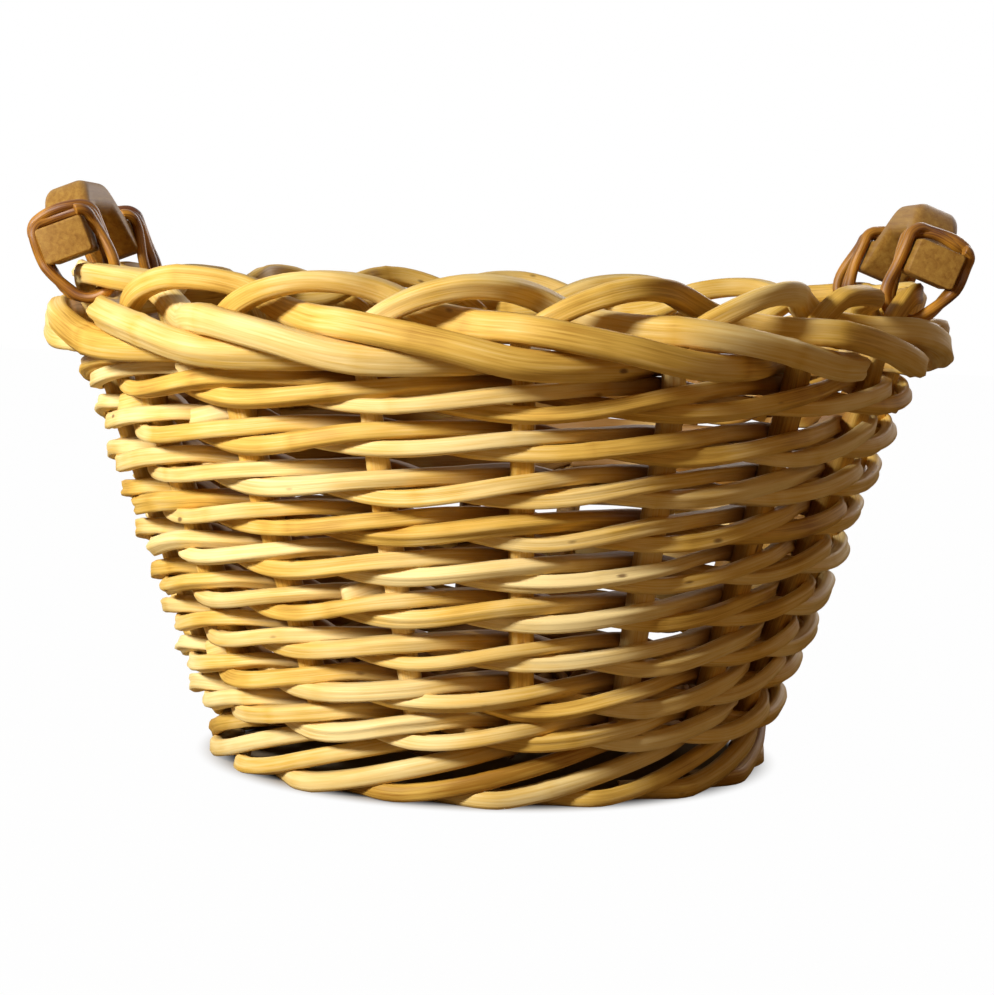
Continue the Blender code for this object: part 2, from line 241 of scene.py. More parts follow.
class Finishes(bpy.types.PropertyGroup):
    """Colours of the willow, wood and cane, as sRGB hex values."""

    willow_pale: hex_colour("Pale willow", "Where the varnish is thin", "#F0DA9C")
    willow_gold: hex_colour("Gold willow", "Most of the wall", "#D6AE50")
    willow_brown: hex_colour("Brown willow", "Older and knotty stretches", "#A07222")
    # Painted shade: the colour that the wall's inner side is browned towards, standing in for the shadow inside
    # the wall
    willow_inside: hex_colour("Inside", "Unvarnished willow inside the wall", "#7A4A16")
    knot: hex_colour("Knot", "Bud scars and cut pith", "#5B3412")
    grip_light: hex_colour("Grip light", "Early wood of the bars", "#A88038")
    grip_dark: hex_colour("Grip dark", "Late wood of the bars", "#7E531C")
    cane_light: hex_colour("Cane light", "Lit strands of the loops", "#C08428")
    cane_dark: hex_colour("Cane dark", "Stained strands of the loops", "#5C2E06")


class StudioSizes(bpy.types.PropertyGroup):
    """Camera and lamps."""

    distance: length("Distance", "Camera from the basket's middle line", 1.050)
    height: length("Height", "Camera above the floor", 0.2083)
    lens: FloatProperty(name="Lens", description="Focal length in mm", default=90.5)
    pitch: angle("Pitch", "Camera tilted down", 5.46)
    roll: angle("Roll", "Camera turned on its axis", 1.6)
    aim: length("Aim", "Camera moved to the right", 0.0015)
    key: FloatProperty(name="Key", description="Power of the key lamp in W", default=28.0)
    fill: FloatProperty(name="Fill", description="Power of the fill lamp in W", default=3.5)
    back: FloatProperty(name="Back", description="Power of the back lamp in W", default=15.0)
    sky: FloatProperty(name="Sky", description="Strength of the room's light", default=0.075)
    shadow_in: length("Shadow from", "Where the floor's own shading begins to fade", 0.106)
    shadow_out: length("Shadow to", "Where the floor is plain white", 0.124)
    floor: FloatVectorProperty(
        name="Floor", description="Pale floor", default=(0.26, 0.20, 0.13), subtype="COLOR"
    )


def linear(hex_value):
    """A linear colour from an sRGB hex value."""
    channels = [int(hex_value[at : at + 2], 16) / 255 for at in (1, 3, 5)]
    return (*[c / 12.92 if c <= 0.04045 else ((c + 0.055) / 1.055) ** 2.4 for c in channels], 1.0)


def at(azimuth, radius, height):
    return Vector((radius * math.sin(azimuth), -radius * math.cos(azimuth), height))


def wall_radius(height):
    wall = bpy.context.scene.basket_wall
    share = (height - wall.first_z) / (wall.last_z - wall.first_z)
    return wall.first_r + (wall.last_r - wall.first_r) * share


def wall_slope():
    wall = bpy.context.scene.basket_wall
    return math.atan2(wall.last_r - wall.first_r, wall.last_z - wall.first_z)


def base_z():
    wall = bpy.context.scene.basket_wall
    return wall.first_z - wall.base_drop


def border_z():
    wall = bpy.context.scene.basket_wall
    return wall.last_z + wall.border_rise


def base_radius():
    return wall_radius(base_z()) - bpy.context.scene.basket_wall.toe


def stake_azimuth(number, height):
    wall = bpy.context.scene.basket_wall
    share = (height - base_z()) / (border_z() - base_z())
    return wall.phase + number * SPACE + wall.twist * (1 - min(share, 1.0))


def loop_azimuths():
    """Where the four loops stand round the basket."""
    turn = bpy.context.scene.basket_grips.loop_turn
    return [side * math.pi / 2 + end * turn for side in (-1, 1) for end in (-1, 1)]


def smooth(knots, spacing, place):
    """A smooth run through knots, whose first three numbers place() turns into a point.

    Further numbers, such as a rod's radius, run along. Returns points and the rest.
    """
    knots = np.array(knots, float)
    spots = [place(*knot[:3]) for knot in knots]
    gaps = np.array([(b - a).length for a, b in zip(spots, spots[1:])])
    slopes = (knots[1:] - knots[:-1]) / gaps[:, None]
    inner = slopes[:-1] * gaps[1:, None] + slopes[1:] * gaps[:-1, None]
    inner = inner / (gaps[:-1] + gaps[1:])[:, None]
    tangents = np.concatenate([slopes[:1], inner, slopes[-1:]])
    found = []
    for n, gap in enumerate(gaps):
        steps = max(1, round(gap / spacing))
        for step in range(steps):
            t = step / steps
            found.append(
                (2 * t**3 - 3 * t**2 + 1) * knots[n]
                + (t**3 - 2 * t**2 + t) * gap * tangents[n]
                + (3 * t**2 - 2 * t**3) * knots[n + 1]
                + (t**3 - t**2) * gap * tangents[n + 1]
            )
    found.append(knots[-1])
    return [place(*knot[:3]) for knot in found], [knot[3:] for knot in found]


def rings(points, radii, cut, oval):
    """A matrix for each ring of a rod, with eased ends.

    An oval rod lies flat against the wall; a round one turns as little as it can.
    """
    flat = bpy.context.scene.basket_rods.flat if oval else 1.0
    first, last = (points[1] - points[0]).normalized(), (points[-1] - points[-2]).normalized()
    points = [points[0], points[0] + first * cut, *points[1:-1], points[-1] - last * cut, points[-1]]
    radii = [radii[0] - cut, radii[0], *radii[1:-1], radii[-1], radii[-1] - cut]
    across = Vector((0, 0, -1)) if oval else first.orthogonal().normalized()
    made = []
    for n, (point, radius) in enumerate(zip(points, radii)):
        before, after = points[max(n - 1, 0)], points[min(n + 1, len(points) - 1)]
        along = (after - before).normalized()
        outward = Vector((point.x, point.y, 0)).normalized()
        if oval and abs(outward.dot(along)) < 0.8:
            across = outward
        across = (across - along * across.dot(along)).normalized()
        turned = Matrix((across, along.cross(across), along)).transposed().to_4x4()
        sized = Matrix.Diagonal((radius * flat, radius * (2 - flat), radius, 1))
        made.append(Matrix.Translation(point) @ turned @ sized)
    return points, made


def tube(points, radii, sides, cut, oval, tone, seed):
    """A bmesh of one rod: a circle drawn out ring by ring, with its ends closed.

    The map runs in metres round and along the rod. "tone" is the rod's shade, and "knot"
    is 1 where a bud has left a swelling.
    """
    rods = bpy.context.scene.basket_rods
    chance = random.Random(seed)
    points, places = rings(points, radii, cut, oval)
    work = bmesh.new()
    side_of = work.verts.layers.int.new("side")
    along_of = work.verts.layers.float.new("along")
    tone_of = work.verts.layers.float.new("tone")
    knot_of = work.verts.layers.float.new("knot")
    circle = bmesh.ops.create_circle(work, segments=sides, radius=1, matrix=places[0])["verts"]
    for number, vert in enumerate(circle):
        vert[side_of] = number
        vert[tone_of] = tone
    edges = list(work.edges)
    ends = [edges]
    run = 0.0
    next_knot = chance.uniform(0.3, 1.2) * rods.knot_gap
    for n in range(1, len(places)):
        run += (points[n] - points[n - 1]).length
        swell = 0.0
        if run > next_knot and 2 < n < len(places) - 3:
            swell = chance.uniform(0.4, 1.3)
            next_knot = run + chance.uniform(0.5, 1.6) * rods.knot_gap
            places[n] = places[n] @ Matrix.Diagonal((*[1 + swell * rods.knot_swell] * 3, 1))
        grown = bmesh.ops.extrude_edge_only(work, edges=edges)["geom"]
        verts = [part for part in grown if isinstance(part, bmesh.types.BMVert)]
        fresh = set(verts)
        edges = [
            part
            for part in grown
            if isinstance(part, bmesh.types.BMEdge) and set(part.verts) <= fresh
        ]
        bmesh.ops.transform(work, matrix=places[n] @ places[n - 1].inverted(), verts=verts)
        for vert in verts:
            vert[along_of] = run
            vert[knot_of] = swell
    ends.append(edges)
    for end in ends:
        bmesh.ops.edgeloop_fill(work, edges=end)
    bmesh.ops.recalc_face_normals(work, faces=work.faces)
    work.normal_update()
    uneven = rods.facets * max(radii) if oval else 0.0
    square = rods.square * max(radii) if oval else 0.0
    shift = chance.uniform(0, 50)
    roll, twist = chance.uniform(-0.3, 0.3), chance.uniform(-2, 2)
    for vert in work.verts:
        turn = 2 * math.pi * vert[side_of] / sides
        spot = Vector((1.3 * math.cos(turn) + shift, 1.3 * math.sin(turn), vert[along_of] * 16))
        bulge = math.sin(2 * (turn + roll + twist * vert[along_of])) ** 2
        vert.co += vert.normal * (noise.noise(spot) * uneven + (bulge - 0.5) * square)
    mapped = work.loops.layers.uv.new("rod")
    girth = 2 * math.pi * max(radii)
    for face in work.faces:
        wraps = {vert[side_of] for vert in face.verts} >= {0, sides - 1}
        for loop in face.loops:
            side = loop.vert[side_of]
            side += sides if wraps and side == 0 else 0
            loop[mapped].uv = (side / sides * girth + shift, loop.vert[along_of] + shift)
        face.smooth = len(face.verts) == 4
    return work


def strayed(points, seed, drift):
    """The points moved a little, so that a rod wanders as a real one does."""
    moved = []
    for point in points:
        probe = point * 22 + Vector((seed * 3.7, seed * 1.3, seed * 2.1))
        moved.append(point + noise.noise_vector(probe) * drift)
    return moved


def rod_piece(name, runs, sides, body, finish, nodes, oval=True, steady=False):
    """One piece from one or more rods, each given as (points, radii, tone)."""
    rods = bpy.context.scene.basket_rods
    drift = 0.0 if steady or not oval else rods.drift
    chance = random.Random(name)
    whole = bmesh.new()
    for points, radii, tone in runs:
        points = strayed(points, chance.uniform(0, 9), drift)
        single = tube(points, radii, sides, rods.cut, oval, tone, chance.random())
        mesh = bpy.data.meshes.new(name)
        single.to_mesh(mesh)
        single.free()
        whole.from_mesh(mesh)
        bpy.data.meshes.remove(mesh)
    return finish_piece(name, whole, body, finish, nodes)


def finish_piece(name, work, body, finish, nodes):
    """Links a finished bmesh as a piece that rides on its body and stands for its nodes."""
    mesh = bpy.data.meshes.new(name)
    work.to_mesh(mesh)
    work.free()
    mesh.materials.append(finish)
    made = bpy.data.objects.new(name, mesh)
    bpy.context.scene.collection.objects.link(made)
    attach(made, body)
    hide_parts(*nodes)
    return made


def add(tree, kind, settings=(), **sockets):
    """Adds a node. settings are its own fields; sockets are values, or sockets to link."""
    node = tree.nodes.new(kind)
    for field, value in dict(settings).items():
        setattr(node, field, value)
    for name, value in sockets.items():
        socket = node.inputs[int(name[1:])] if name[0] == "_" else node.inputs[name.replace("_", " ")]
        if isinstance(value, bpy.types.NodeSocket):
            tree.links.new(value, socket)
        else:
            socket.default_value = value
    return node


def blank_material(name):
    made = bpy.data.materials.new(name)
    made.use_nodes = True
    made.node_tree.nodes.clear()
    return made, made.node_tree


def willow(name, shade):
    """Peeled willow under satin varnish: a smooth skin with fine streaks along the rod.

    The varnish pools amber in the streaks and lies pale on the crowns. shade darkens it, and a painted shade
    browns the wall's inner side.
    """
    looks = bpy.context.scene.basket_finishes
    made, tree = blank_material(name)
    mapped = add(tree, "ShaderNodeUVMap", {"uv_map": "rod"}).outputs[0]
    # Streaks about 0.8 mm wide and 30 mm long
    stretched = add(tree, "ShaderNodeMapping", Vector=mapped, Scale=(1200, 33, 1)).outputs[0]
    streaks = add(tree, "ShaderNodeTexNoise", Vector=stretched, Scale=1.0, Detail=3.0).outputs[0]
    tone = add(tree, "ShaderNodeAttribute", {"attribute_name": "tone"}).outputs["Fac"]
    knot = add(tree, "ShaderNodeAttribute", {"attribute_name": "knot"}).outputs["Fac"]
    place = add(tree, "ShaderNodeTexCoord").outputs["Object"]
    # Stretches of older wood, about 40 mm long
    patches = add(tree, "ShaderNodeTexNoise", Vector=place, Scale=28.0, Detail=2.0).outputs[0]
    mixed = add(tree, "ShaderNodeMath", {"operation": "MULTIPLY_ADD"}, _0=streaks, _1=0.55, _2=tone)
    mixed = add(
        tree, "ShaderNodeMath", {"operation": "MULTIPLY_ADD"}, _0=patches, _1=0.70, _2=mixed.outputs[0]
    )
    mixed = add(
        tree, "ShaderNodeMath", {"operation": "MULTIPLY_ADD"}, _0=knot, _1=0.07, _2=mixed.outputs[0]
    )
    ramp = add(tree, "ShaderNodeValToRGB", Fac=mixed.outputs[0])
    stops = ramp.color_ramp.elements
    stops[0].position, stops[0].color = 0.40, linear(looks.willow_pale)
    stops[1].position, stops[1].color = 0.74, linear(looks.willow_gold)
    last = stops.new(1.0)
    last.color = linear(looks.willow_brown)
    # Painted shade: browner from the stakes inwards, up to the border's lowest strokes, standing in for the
    # shadow inside the wall and on rods as they turn in
    wall = bpy.context.scene.basket_wall
    lean = (wall.last_r - wall.first_r) / (wall.last_z - wall.first_z)
    flat = add(tree, "ShaderNodeVectorMath", {"operation": "MULTIPLY"}, _0=place, _1=(1, 1, 0))
    reach = add(tree, "ShaderNodeVectorMath", {"operation": "LENGTH"}, _0=flat.outputs[0])
    level = add(tree, "ShaderNodeSeparateXYZ", Vector=place).outputs["Z"]
    start = wall.first_r - wall.first_z * lean
    circle = add(tree, "ShaderNodeMath", {"operation": "MULTIPLY_ADD"}, _0=level, _1=lean, _2=start)
    depth = add(
        tree, "ShaderNodeMath", {"operation": "SUBTRACT"}, _0=reach.outputs["Value"], _1=circle.outputs[0]
    )
    inside = add(
        tree, "ShaderNodeMapRange", {"interpolation_type": "SMOOTHSTEP"}, Value=depth.outputs[0],
        From_Min=0.0068, From_Max=-0.0060,
    ).outputs[0]
    below = add(
        tree, "ShaderNodeMapRange", Value=level, From_Min=border_z() + 0.010, From_Max=border_z() - 0.004
    ).outputs[0]
    # Painted shade inside the wall, at most 86% of the way to the inner colour
    inner_shade = add(tree, "ShaderNodeMath", {"operation": "MULTIPLY"}, _0=inside, _1=below)
    inner_shade = add(tree, "ShaderNodeMath", {"operation": "MULTIPLY"}, _0=inner_shade.outputs[0], _1=0.86)
    toned = add(tree, "ShaderNodeMix", {"data_type": "RGBA"}, _0=inner_shade.outputs[0])
    tree.links.new(ramp.outputs[0], toned.inputs[6])
    toned.inputs[7].default_value = linear(looks.willow_inside)
    dim = add(tree, "ShaderNodeMix", {"data_type": "RGBA", "blend_type": "MULTIPLY"}, _0=1.0)
    tree.links.new(toned.outputs[2], dim.inputs[6])
    dim.inputs[7].default_value = (shade, shade * 0.97, shade * 0.92, 1.0)
    # Bud scars 1.5 mm across, one every 35 mm or so
    spread = add(tree, "ShaderNodeMapping", Vector=mapped, Scale=(50, 28, 1)).outputs[0]
    spots = add(tree, "ShaderNodeTexVoronoi", Vector=spread, Scale=1.0).outputs["Distance"]
    ragged = add(tree, "ShaderNodeMath", {"operation": "MULTIPLY_ADD"}, _0=streaks, _1=0.05, _2=spots)
    scar = add(
        tree, "ShaderNodeMapRange", Value=ragged.outputs[0], From_Min=0.060, From_Max=0.100,
        To_Min=0.8, To_Max=0.0,
    ).outputs[0]
    marked = add(tree, "ShaderNodeMix", {"data_type": "RGBA"}, _0=scar)
    tree.links.new(dim.outputs[2], marked.inputs[6])
    marked.inputs[7].default_value = linear(looks.knot)
    rough = add(tree, "ShaderNodeMapRange", Value=streaks, To_Min=0.48, To_Max=0.66).outputs[0]
    bump = add(tree, "ShaderNodeBump", Strength=0.45, Distance=0.0003, Height=streaks)
    shader = add(
        tree,
        "ShaderNodeBsdfPrincipled",
        Base_Color=marked.outputs[2],
        Roughness=rough,
        IOR=1.45,
        Specular_IOR_Level=0.30,
        Normal=bump.outputs[0],
    )
    add(tree, "ShaderNodeOutputMaterial", Surface=shader.outputs[0])
    return made


def cane(name):
    """Rattan cane, stained and varnished: hard, glossy, with long dark fibres."""
    looks = bpy.context.scene.basket_finishes
    made, tree = blank_material(name)
    mapped = add(tree, "ShaderNodeUVMap", {"uv_map": "rod"}).outputs[0]
    # Fibres about 0.5 mm wide and 20 mm long
    stretched = add(tree, "ShaderNodeMapping", Vector=mapped, Scale=(2000, 50, 1)).outputs[0]
    fibres = add(tree, "ShaderNodeTexNoise", Vector=stretched, Scale=1.0, Detail=4.0).outputs[0]
    place = add(tree, "ShaderNodeTexCoord").outputs["Object"]
    patches = add(tree, "ShaderNodeTexNoise", Vector=place, Scale=60.0, Detail=1.0).outputs[0]
    mixed = add(tree, "ShaderNodeMath", {"operation": "MULTIPLY_ADD"}, _0=fibres, _1=0.6, _2=patches)
    ramp = add(tree, "ShaderNodeValToRGB", Fac=mixed.outputs[0])
    stops = ramp.color_ramp.elements
    stops[0].position, stops[0].color = 0.60, linear(looks.cane_light)
    stops[1].position, stops[1].color = 1.00, linear(looks.cane_dark)
    bump = add(tree, "ShaderNodeBump", Strength=0.5, Distance=0.0003, Height=fibres)
    shader = add(
        tree,
        "ShaderNodeBsdfPrincipled",
        Base_Color=ramp.outputs[0],
        Roughness=0.46,
        IOR=1.45,
        Specular_IOR_Level=0.42,
        Normal=bump.outputs[0],
    )
    add(tree, "ShaderNodeOutputMaterial", Surface=shader.outputs[0])
    return made


def grip_wood(name):
    """Stained hardwood under thin varnish: rings 2 mm apart, seen as grain and as end grain."""
    looks = bpy.context.scene.basket_finishes
    made, tree = blank_material(name)
    place = add(tree, "ShaderNodeTexCoord").outputs["Object"]
    stretched = add(tree, "ShaderNodeMapping", Vector=place, Scale=(500, 22, 500)).outputs[0]
    grain = add(
        tree, "ShaderNodeTexNoise", Vector=stretched, Scale=1.0, Detail=4.0, Distortion=0.4
    ).outputs[0]
    pores = add(tree, "ShaderNodeMapping", Vector=place, Scale=(2600, 160, 2600)).outputs[0]
    fine = add(tree, "ShaderNodeTexNoise", Vector=pores, Scale=1.0, Detail=2.0).outputs[0]
    mixed = add(tree, "ShaderNodeMath", {"operation": "MULTIPLY_ADD"}, _0=fine, _1=0.35, _2=grain)
    ramp = add(tree, "ShaderNodeValToRGB", Fac=mixed.outputs[0])
    stops = ramp.color_ramp.elements
    stops[0].position, stops[0].color = 0.40, linear(looks.grip_light)
    stops[1].position, stops[1].color = 0.95, linear(looks.grip_dark)
    bump = add(tree, "ShaderNodeBump", Strength=0.15, Distance=0.0003, Height=mixed.outputs[0])
    shader = add(
        tree,
        "ShaderNodeBsdfPrincipled",
        Base_Color=ramp.outputs[0],
        Roughness=0.58,
        IOR=1.45,
        Specular_IOR_Level=0.25,
        Normal=bump.outputs[0],
    )
    add(tree, "ShaderNodeOutputMaterial", Surface=shader.outputs[0])
    return made


class BASKET_OT_stakes(bpy.types.Operator):
    """Make the stakes, each running on into its stroke of the border"""

    bl_idname = "basket.stakes"
    bl_label = "Stakes and Border"

    def execute(self, context):
        rods, wall = context.scene.basket_rods, context.scene.basket_wall
        finish = willow("peeled_willow_stakes", 1.0)
        thick, slim = rods.border_rod / 2, rods.stake / 2
        low = base_z()
        for number in range(STAKES):
            chance = random.Random(f"stake {number}")
            fatter = chance.uniform(0.95, 1.04)
            foot = (
                (base_radius(), low),
                (wall_radius(low) - wall.bend, low),
                (wall_radius(low + wall.bend), low + wall.bend),
                (wall_radius(wall.first_z + slim), wall.first_z + slim),
                (wall_radius(wall.last_z), wall.last_z),
            )
            knots = [(stake_azimuth(number, z), r, z, slim * fatter) for r, z in foot]
            start = stake_azimuth(number, border_z())
            path = BORDER_PATH_SHARES
            held = any((loop - start) % (2 * math.pi) < 1.4 * SPACE for loop in loop_azimuths())
            if held:
                path = HELD_PATH_SHARES + BORDER_PATH_SHARES[len(HELD_PATH_SHARES) :]
            for places, out, up in path:
                radius = wall_radius(border_z()) + out * rods.border
                height = border_z() + up * rods.border
                taper = np.interp(places, *BORDER_TAPER)
                knots.append((start + places * SPACE, radius, height, thick * fatter * taper))
            points, rest = smooth(knots, rods.spacing, at)
            radii = [float(r[0]) for r in rest]
            name = f"stake_{number + 1:02d}"
            tone = chance.uniform(-0.06, 0.16)
            rod_piece(
                f"willow_{name}",
                [(points, radii, tone)],
                16,
                "basket",
                finish,
                [name],
                steady=held,
            )
        return {"FINISHED"}


def wale_level(spaces):
    wall = bpy.context.scene.basket_wall
    pitch = (wall.last_z - wall.first_z) / (WALE_ROUNDS - 1)
    rounds, into = divmod(spaces, STAKES)
    climbed = min(into / STEP_UP_SPACES, 1.0) if rounds > 0 else 1.0
    return wall.first_z + (rounds - 1 + climbed) * pitch


def behind(spaces):
    """0 at the front of the basket, 1 at its back, for a place on the wale."""
    turned = stake_azimuth(spaces - STAKES / 2, base_z())
    return 0.5 - 0.5 * math.cos(turned)


def wale_point(spaces, out_share, up_share):
    wall = bpy.context.scene.basket_wall
    slope = wall_slope()
    height = wale_level(spaces)
    out = out_share * wall.weave_depth
    closer = 1 + behind(spaces) * bpy.context.scene.basket_rods.close
    rise = up_share * wall.stroke_pitch * closer
    radius = wall_radius(height) + out * math.cos(slope) + rise * math.sin(slope)
    azimuth = stake_azimuth(spaces - STAKES / 2, height)
    # The rods of a round stray together
    probe = at(azimuth, 1.3, height * 85)
    height += noise.noise(probe) * bpy.context.scene.basket_rods.sway
    return at(azimuth, radius, height + rise * math.cos(slope) - out * math.sin(slope))


class BASKET_OT_wale(bpy.types.Operator):
    """Weave the wall: two sets of three rods, pieced out of shorter rods"""

    bl_idname = "basket.wale"
    bl_label = "Wale"

    def execute(self, context):
        rods = context.scene.basket_rods
        finish = willow("peeled_willow_wale", 1.0)
        done = 0
        for set_name, rounds in WALE_SETS:
            first = done * STAKES + (STEP_UP_SPACES if done == 0 else 0)
            last = (done + rounds) * STAKES
            for number in range(WALE_RODS):
                name = f"wale_{set_name}_rod_{number + 1}"
                chance = random.Random(name)
                start = first + number
                cycles = (last - WALE_RODS + number - start) // WALE_RODS
                runs = []
                cycle = 0
                while cycle < cycles:
                    count = min(chance.randint(5, 7), cycles - cycle)
                    if cycles - cycle - count < 3:
                        count = cycles - cycle
                    thick = rods.weaver / 2 * chance.uniform(0.92, 1.08)
                    knots = []
                    for turn in range(cycle, cycle + count):
                        for spaces, out, up in WALE_STROKE_SHARES:
                            share = (turn - cycle + spaces / WALE_RODS) / count
                            up += chance.uniform(-0.13, 0.13)
                            out *= chance.uniform(0.95, 1.08)
                            at_space = start + turn * WALE_RODS + spaces
                            fuller = rods.inner_swell if out < 0 else 1.0
                            fuller *= 1 + behind(at_space) * rods.close
                            knots.append((at_space, out, up, thick * (1.07 - 0.16 * share) * fuller))
                    end = thick * 0.9 * rods.inner_swell
                    knots.append((start + (cycle + count) * WALE_RODS, -1.0, 0.0, end))
                    if cycle > 0:
                        # The new rod's butt shows outside, left of the stake it goes behind
                        knots[0] = (knots[0][0] - 0.10, -0.6, 0.75, knots[0][3])
                        knots.insert(0, (knots[0][0] - 0.32, 0.75, 0.55, knots[0][3]))
                    points, rest = smooth(knots, rods.spacing, wale_point)
                    radii = [float(r[0]) for r in rest]
                    runs.append((points, radii, chance.uniform(-0.18, 0.16)))
                    cycle += count
                rod_piece(f"willow_{name}", runs, 16, "basket", finish, [name])
            done += rounds
        return {"FINISHED"}


class BASKET_OT_foot(bpy.types.Operator):
    """Plait the foot from short rods"""

    bl_idname = "basket.foot"
    bl_label = "Foot"

    def execute(self, context):
        rods, wall = context.scene.basket_rods, context.scene.basket_wall
        finish = willow("peeled_willow_foot", 0.92)
        top = wall.first_z - wall.foot_drop
        circle = wall_radius(top) + wall.foot_outset
        for number in range(STAKES):
            chance = random.Random(f"foot {number}")
            start = stake_azimuth(number, top)
            thick = rods.foot / 2
            knots = []
            for places, inward, up in FOOT_PATH_SHARES:
                height = wall.sole_z + (top - wall.sole_z) * up
                knots.append((start - places * SPACE, circle - inward * rods.foot, height, thick))
            points, rest = smooth(knots, rods.spacing, at)
            # Worn flat where it stands: no lower than the sole lets it
            radii = [float(r[0]) for r in rest]
            points = [Vector((p.x, p.y, max(p.z, r))) for p, r in zip(points, radii)]
            name = f"foot_rod_{number + 1:02d}"
            tone = chance.uniform(-0.1, 0.3)
            made = rod_piece(
                f"willow_{name}", [(points, radii, tone)], 12, "basket", finish, [name]
            )
            for vert in made.data.vertices:
                vert.co.z = max(vert.co.z, 0.0)
        return {"FINISHED"}


class BASKET_OT_base(bpy.types.Operator):
    """Make the base: crossed sticks, their tie, and two rods woven round them"""

    bl_idname = "basket.base"
    bl_label = "Base"

    def execute(self, context):
        rods, wall = context.scene.basket_rods, context.scene.basket_wall
        finish = willow("peeled_willow_base", 0.80)
        low = base_z()
        start = stake_azimuth(0, low)
        edge = base_radius()
        pitch = rods.stick + wall.weave_gap
        layers = (("along", STICKS_ALONG, -1, 0.0), ("across", STICKS_ACROSS, 1, math.pi / 2))
        for layer, count, level, turn in layers:
            height = low + level * pitch / 2
            for number in range(count):
                place = number - (count - 1) / 2
                aside = at(start + turn + math.pi / 2, place * pitch, 0)
                left = start + turn + place * SPACE
                right = start + turn + math.pi - place * SPACE
                spots = [
                    at(left, edge, low),
                    at(left, wall.spread_r, low),
                    at(start + turn, wall.parallel_r, height) + aside,
                    at(start + turn, -wall.parallel_r, height) + aside,
                    at(right, wall.spread_r, low),
                    at(right, edge, low),
                ]
                knots = [(*spot, rods.stick / 2) for spot in spots]
                points, rest = smooth(knots, rods.spacing, lambda x, y, z: Vector((x, y, z)))
                name = f"base_stick_{layer}_{number + 1}"
                radii = [float(r[0]) for r in rest]
                tone = random.Random(name).uniform(-0.1, 0.2)
                rod_piece(
                    f"willow_{name}", [(points, radii, tone)], 10, "basket", finish, [name]
                )
        depth = (rods.stick + rods.base_weaver) / 2 + wall.weave_gap
        last_r = edge - rods.base_weaver / 2
        gap = (last_r - wall.base_first_r) / (BASE_TURNS * BASE_WEAVERS + BASE_WEAVERS - 1)
        for number in range(BASE_WEAVERS):
            knots = []
            for step in range(BASE_TURNS * STAKES + 1):
                radius = wall.base_first_r + gap * (number + BASE_WEAVERS * step / STAKES)
                side = 1 if (step + number) % 2 else -1
                azimuth = stake_azimuth(step, low)
                knots.append((azimuth, radius, low + side * depth, rods.base_weaver / 2))
            points, rest = smooth(knots, rods.spacing, at)
            radii = [float(r[0]) for r in rest]
            name = f"base_weaver_{number + 1}"
            tone = random.Random(name).uniform(-0.05, 0.15)
            rod_piece(
                f"willow_{name}", [(points, radii, tone)], 10, "basket", finish, [name]
            )
        self.tie(rods, wall, finish, low, start)
        return {"FINISHED"}

    def tie(self, rods, wall, finish, low, start):
        """A thin rod wound three times round the crossing, over one layer, under the other."""
        half_along = (STICKS_ALONG - 1) / 2 * (rods.stick + wall.weave_gap) + rods.stick / 2
        half_across = (STICKS_ACROSS - 1) / 2 * (rods.stick + wall.weave_gap) + rods.stick / 2
        over = rods.stick + wall.weave_gap + rods.tie / 2
        knots = []
        for turn in range(3):
            grow = rods.tie * (0.6 + 1.05 * turn)
            for quarter in range(4):
                on_along = quarter % 2 == 0
                reach = (half_across if on_along else half_along) + grow
                level = over if on_along else -over
                azimuth = start + quarter * math.pi / 2
                knots.append((*at(azimuth, reach, low + level * 0.98), rods.tie / 2))
                corner = at(azimuth, reach, low) + at(azimuth + math.pi / 2, (half_along if on_along else half_across) + grow, 0)
                knots.append((*corner, rods.tie / 2))
        points, rest = smooth(knots, rods.spacing / 2, lambda x, y, z: Vector((x, y, z)))
        radii = [float(r[0]) for r in rest]
        rod_piece("willow_base_tie", [(points, radii, 0.1)], 8, "basket", finish, [])


def hinge_matrix(side_name, side):
    """Where a handle turns, from the frame's joint; half a turn round for the left one."""
    joint = next(j for j in frame["joints"] if j["name"] == f"handle_{side_name}_swing")
    turn = Matrix.Rotation(0.0 if side > 0 else math.pi, 4, "Z")
    return turn @ Matrix.Translation((abs(joint["pos_m"][0]), 0, joint["pos_m"][2]))


def lean_axes():
    lean = bpy.context.scene.basket_grips.lean
    up = Vector((math.sin(lean), 0, math.cos(lean)))
    return up, Vector((math.cos(lean), 0, -math.sin(lean)))


def bar_middle():
    """From the hinge to the middle of the bar's end."""
    grips = bpy.context.scene.basket_grips
    up, out = lean_axes()
    return up * (grips.border / 2 + grips.seat_gap + grips.thickness / 2) + out * grips.outset


def grip_rise(along):
    grips = bpy.context.scene.basket_grips
    start = grips.length / 2 - grips.end_flat
    stop = grips.top_flat / 2
    share = min(max((start - abs(along)) / (start - stop), 0.0), 1.0)
    return grips.rise * share * share * (3 - 2 * share)


